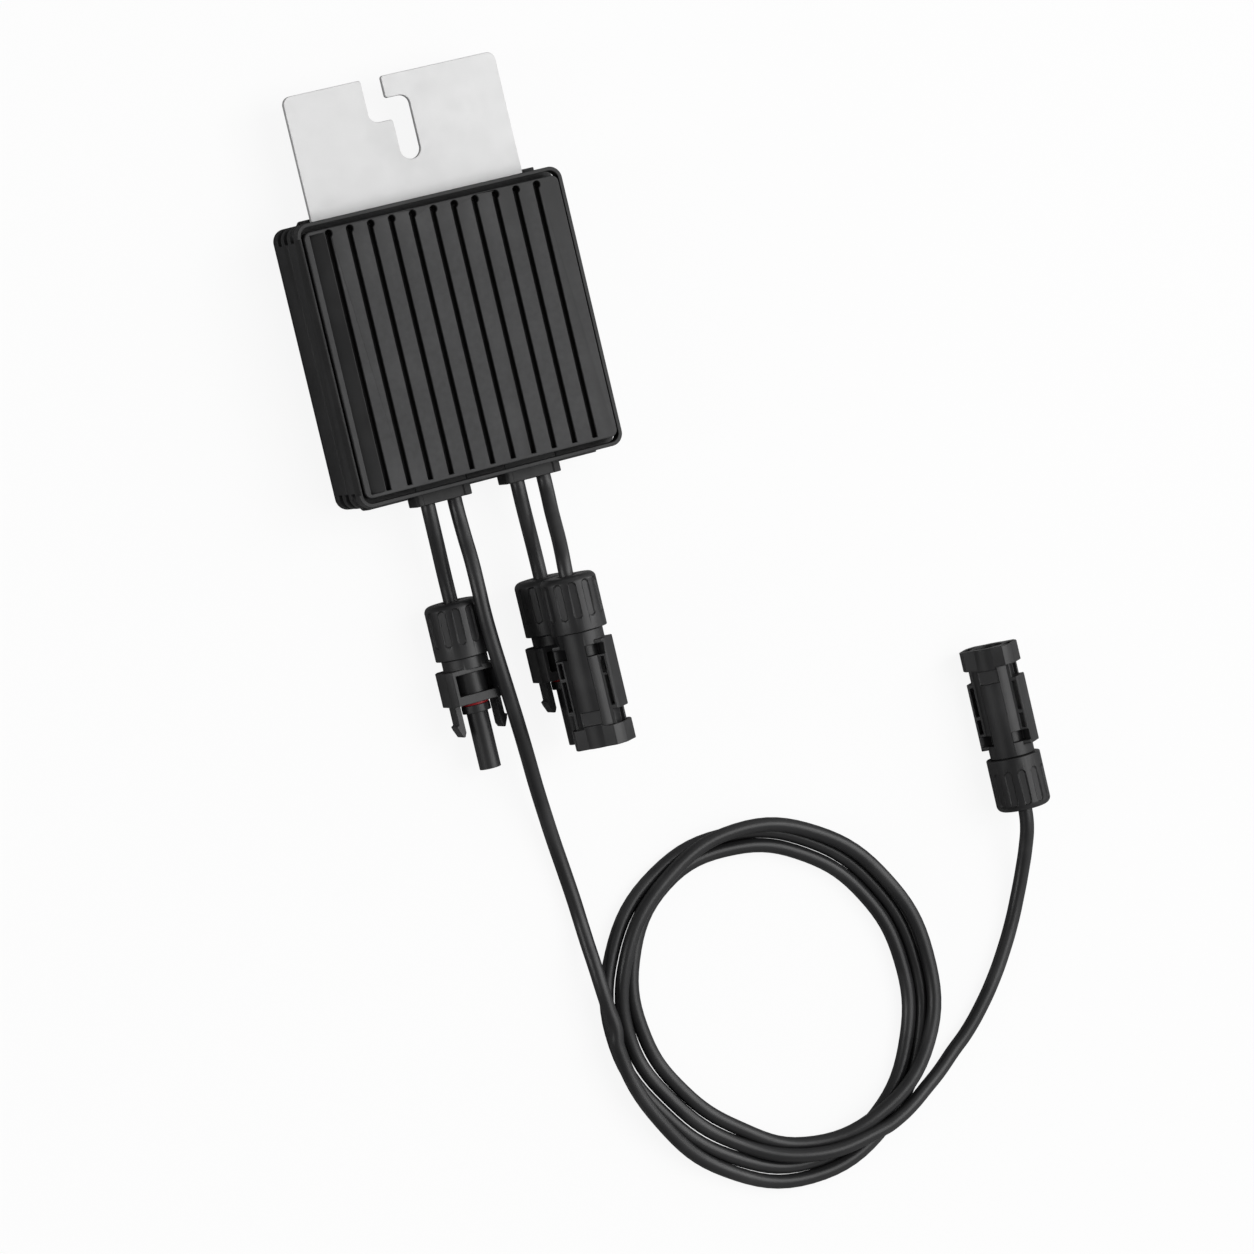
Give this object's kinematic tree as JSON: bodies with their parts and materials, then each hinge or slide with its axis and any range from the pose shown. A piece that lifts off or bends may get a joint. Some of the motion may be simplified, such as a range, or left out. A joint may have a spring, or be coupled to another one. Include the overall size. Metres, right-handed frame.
{
  "type": "micro inverter",
  "caption": "Ribbed black solar module converter box with a hook-slot mounting plate, paired single-core leads and latching round connectors; the longest lead is loosely coiled.",
  "frame": {"origin": "centre of the back cover's flat rest face", "axes": "+X to the right across the ribbed front, +Y towards the bracket, +Z out of the ribbed front"},
  "size_m": [0.2376, 0.4178, 0.0414],
  "materials": {
    "casing": "matt black powder coat on cast aluminium",
    "bracket_metal": "fine-grained pale sheet",
    "screw_steel": "plain zinc-plated steel",
    "gland": "moulded black plastic",
    "rubber_seal": "black silicone rubber",
    "board": "green solder mask",
    "thermal_pad": "soft grey gap filler",
    "chip": "black epoxy",
    "potting": "dark grey potting compound",
    "ferrite": "dark grey ferrite",
    "winding": "enamelled copper",
    "capacitor_can": "sleeved can",
    "film_capacitor": "ochre box",
    "lead_sheath": "black cross-linked cable sheath",
    "connector_plastic": "moulded black plastic, fine satin",
    "contact_metal": "tin-plated copper",
    "red_seal": "red silicone"
  },
  "bodies": {
    "converter": {"front_shell": "casing", "back_cover": "casing", "bracket": "bracket_metal", "heat_spreader": "bracket_metal", "bracket_screws": "screw_steel", "cover_screws": "screw_steel", "board_screws": "screw_steel", "lead_terminals": "screw_steel", "gland_left": "gland", "gland_right": "gland", "gland_seals": "rubber_seal", "shell_gasket": "rubber_seal", "socket_a_seal": "rubber_seal", "socket_c_seal": "rubber_seal", "pin_d_seal": "rubber_seal", "pin_far_seal": "rubber_seal", "board": "board", "thermal_pad": "thermal_pad", "power_transistors": "chip", "control_chips": "chip", "potting_layer": "potting", "inductor_core": "ferrite", "comms_transformer": "ferrite", "inductor_coil": "winding", "filter_capacitors": "capacitor_can", "film_capacitors": "film_capacitor", "lead_tails": "lead_sheath", "lead_a": "lead_sheath", "lead_c": "lead_sheath", "lead_d": "lead_sheath", "lead_long_near": "lead_sheath", "lead_long_coil": "lead_sheath", "lead_long_far": "lead_sheath", "socket_a_housing": "connector_plastic", "socket_c_housing": "connector_plastic", "pin_d_housing": "connector_plastic", "pin_far_housing": "connector_plastic", "socket_a_contact": "contact_metal", "socket_c_contact": "contact_metal", "pin_d_contact": "contact_metal", "pin_far_contact": "contact_metal", "socket_a_nose_ring": "red_seal", "socket_c_nose_ring": "red_seal"},
    "socket_a_clamp_body": {"socket_a_clamp_ring": "connector_plastic"},
    "socket_a_nut_body": {"socket_a_nut": "connector_plastic"},
    "socket_a_finger_left_body": {"socket_a_finger_left": "connector_plastic"},
    "socket_a_finger_right_body": {"socket_a_finger_right": "connector_plastic"},
    "socket_c_clamp_body": {"socket_c_clamp_ring": "connector_plastic"},
    "socket_c_nut_body": {"socket_c_nut": "connector_plastic"},
    "socket_c_finger_left_body": {"socket_c_finger_left": "connector_plastic"},
    "socket_c_finger_right_body": {"socket_c_finger_right": "connector_plastic"},
    "pin_d_clamp_body": {"pin_d_clamp_ring": "connector_plastic"},
    "pin_d_nut_body": {"pin_d_nut": "connector_plastic"},
    "pin_far_clamp_body": {"pin_far_clamp_ring": "connector_plastic"},
    "pin_far_nut_body": {"pin_far_nut": "connector_plastic"}
  },
  "joints": [
    {"name": "socket_a_nut_travel", "type": "slide", "parent": "converter", "child": "socket_a_clamp_body", "axis": [0, 1, 0], "range_m": [0, 0.004]},
    {"name": "socket_a_nut_turn", "type": "hinge", "parent": "socket_a_clamp_body", "child": "socket_a_nut_body", "pos_m": [-0.0207, -0.0945, 0.0101], "axis": [0, 1, 0], "range_deg": [0, 720]},
    {"name": "socket_a_finger_left_flex", "type": "hinge", "parent": "converter", "child": "socket_a_finger_left_body", "pos_m": [-0.0284, -0.1241, 0.0101], "axis": [0, 0, 1], "range_deg": [0, 8], "stiffness_Nm_per_rad": 0.35},
    {"name": "socket_a_finger_right_flex", "type": "hinge", "parent": "converter", "child": "socket_a_finger_right_body", "pos_m": [-0.013, -0.1241, 0.0101], "axis": [0, 0, -1], "range_deg": [0, 8], "stiffness_Nm_per_rad": 0.35},
    {"name": "socket_c_nut_travel", "type": "slide", "parent": "converter", "child": "socket_c_clamp_body", "axis": [0, 1, 0], "range_m": [0, 0.004]},
    {"name": "socket_c_nut_turn", "type": "hinge", "parent": "socket_c_clamp_body", "child": "socket_c_nut_body", "pos_m": [0.014, -0.0945, 0.0101], "axis": [0, 1, 0], "range_deg": [0, 720]},
    {"name": "socket_c_finger_left_flex", "type": "hinge", "parent": "converter", "child": "socket_c_finger_left_body", "pos_m": [0.0063, -0.1241, 0.0101], "axis": [0, 0, 1], "range_deg": [0, 8], "stiffness_Nm_per_rad": 0.35},
    {"name": "socket_c_finger_right_flex", "type": "hinge", "parent": "converter", "child": "socket_c_finger_right_body", "pos_m": [0.0217, -0.1241, 0.0101], "axis": [0, 0, -1], "range_deg": [0, 8], "stiffness_Nm_per_rad": 0.35},
    {"name": "pin_d_nut_travel", "type": "slide", "parent": "converter", "child": "pin_d_clamp_body", "axis": [0, 1, 0], "range_m": [0, 0.004]},
    {"name": "pin_d_nut_turn", "type": "hinge", "parent": "pin_d_clamp_body", "child": "pin_d_nut_body", "pos_m": [0.016, -0.0945, 0.0301], "axis": [0, 1, 0], "range_deg": [0, 720]},
    {"name": "pin_far_nut_travel", "type": "slide", "parent": "converter", "child": "pin_far_clamp_body", "axis": [0, -1, 0], "range_m": [0, 0.004]},
    {"name": "pin_far_nut_turn", "type": "hinge", "parent": "pin_far_clamp_body", "child": "pin_far_nut_body", "pos_m": [0.1769, -0.2116, 0.0101], "axis": [0, -1, 0], "range_deg": [0, 720]}
  ],
  "couplings": [
    {"joint": "socket_a_nut_turn", "follows": "socket_a_nut_travel", "rad_per_m": 3141},
    {"joint": "socket_c_nut_turn", "follows": "socket_c_nut_travel", "rad_per_m": 3141},
    {"joint": "pin_d_nut_turn", "follows": "pin_d_nut_travel", "rad_per_m": 3141},
    {"joint": "pin_far_nut_turn", "follows": "pin_far_nut_travel", "rad_per_m": 3141}
  ]
}
